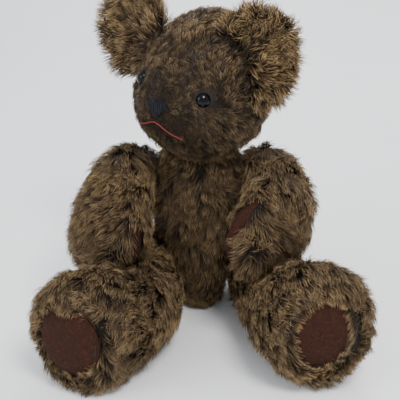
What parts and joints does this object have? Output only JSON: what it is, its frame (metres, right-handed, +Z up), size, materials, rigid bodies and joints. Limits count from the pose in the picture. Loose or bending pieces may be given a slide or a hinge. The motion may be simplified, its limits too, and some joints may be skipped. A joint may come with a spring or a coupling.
{
  "type": "jointed teddy bear",
  "caption": "Seated plush teddy bear with disc-jointed head, arms and legs, felt pads, black eyes and an embroidered nose and mouth.",
  "frame": {"origin": "middle of the seat, on the surface that the bear sits on", "axes": "+Z up, -Y the way the body faces, +X the bear's own left"},
  "size_m": [0.2613, 0.2293, 0.2888],
  "materials": {
    "plush": "long olive-brown pile with darker roots",
    "felt": "dark brown felt",
    "stuffing": "white polyester fibre",
    "eye_plastic": "polished black",
    "joint_plastic": "moulded, unpainted",
    "nose_thread": "satin-stitched thread",
    "mouth_thread": "embroidery thread",
    "steel": "stamped spring steel"
  },
  "bodies": {
    "torso": {"body_front_left": "plush", "body_back_left": "plush", "body_back_right": "plush", "body_front_right": "plush", "torso_stuffing": "stuffing", "neck_washer": "joint_plastic", "shoulder_left_washer": "joint_plastic", "hip_left_washer": "joint_plastic", "shoulder_right_washer": "joint_plastic", "hip_right_washer": "joint_plastic"},
    "head": {"head_side_left": "plush", "head_side_right": "plush", "head_gusset": "plush", "head_chin": "plush", "ear_left_front": "plush", "ear_left_back": "plush", "ear_right_front": "plush", "ear_right_back": "plush", "head_stuffing": "stuffing", "eye_left": "eye_plastic", "eye_washer_left": "joint_plastic", "eye_right": "eye_plastic", "eye_washer_right": "joint_plastic", "nose": "nose_thread", "mouth": "mouth_thread", "neck_disc": "joint_plastic", "neck_lock": "steel"},
    "left_arm": {"arm_left_outer": "plush", "arm_left_inner": "plush", "paw_pad_left": "felt", "arm_left_stuffing": "stuffing", "shoulder_left_disc": "joint_plastic", "shoulder_left_lock": "steel"},
    "right_arm": {"arm_right_outer": "plush", "arm_right_inner": "plush", "paw_pad_right": "felt", "arm_right_stuffing": "stuffing", "shoulder_right_disc": "joint_plastic", "shoulder_right_lock": "steel"},
    "left_leg": {"leg_left_outer": "plush", "leg_left_inner": "plush", "sole_left": "felt", "leg_left_stuffing": "stuffing", "hip_left_disc": "joint_plastic", "hip_left_lock": "steel"},
    "right_leg": {"leg_right_outer": "plush", "leg_right_inner": "plush", "sole_right": "felt", "leg_right_stuffing": "stuffing", "hip_right_disc": "joint_plastic", "hip_right_lock": "steel"}
  },
  "joints": [
    {"name": "neck", "type": "hinge", "parent": "torso", "child": "head", "pos_m": [0.004, -0.001, 0.1506], "axis": [0, 0, 1], "continuous": true},
    {"name": "left_shoulder", "type": "hinge", "parent": "torso", "child": "left_arm", "pos_m": [0.0432, 0.001, 0.116], "axis": [0.9671, -0.1527, 0.2036], "range_deg": [-33, 0]},
    {"name": "right_shoulder", "type": "hinge", "parent": "torso", "child": "right_arm", "pos_m": [-0.0432, 0.001, 0.116], "axis": [0.9762, -0.0805, -0.2013], "range_deg": [-38, 0]},
    {"name": "left_hip", "type": "hinge", "parent": "torso", "child": "left_leg", "pos_m": [0.029, -0.005, 0.038], "axis": [0.984, 0.1101, -0.1401], "range_deg": [0, 180]},
    {"name": "right_hip", "type": "hinge", "parent": "torso", "child": "right_leg", "pos_m": [-0.029, -0.005, 0.038], "axis": [0.985, -0.05, 0.165], "range_deg": [0, 180]}
  ]
}
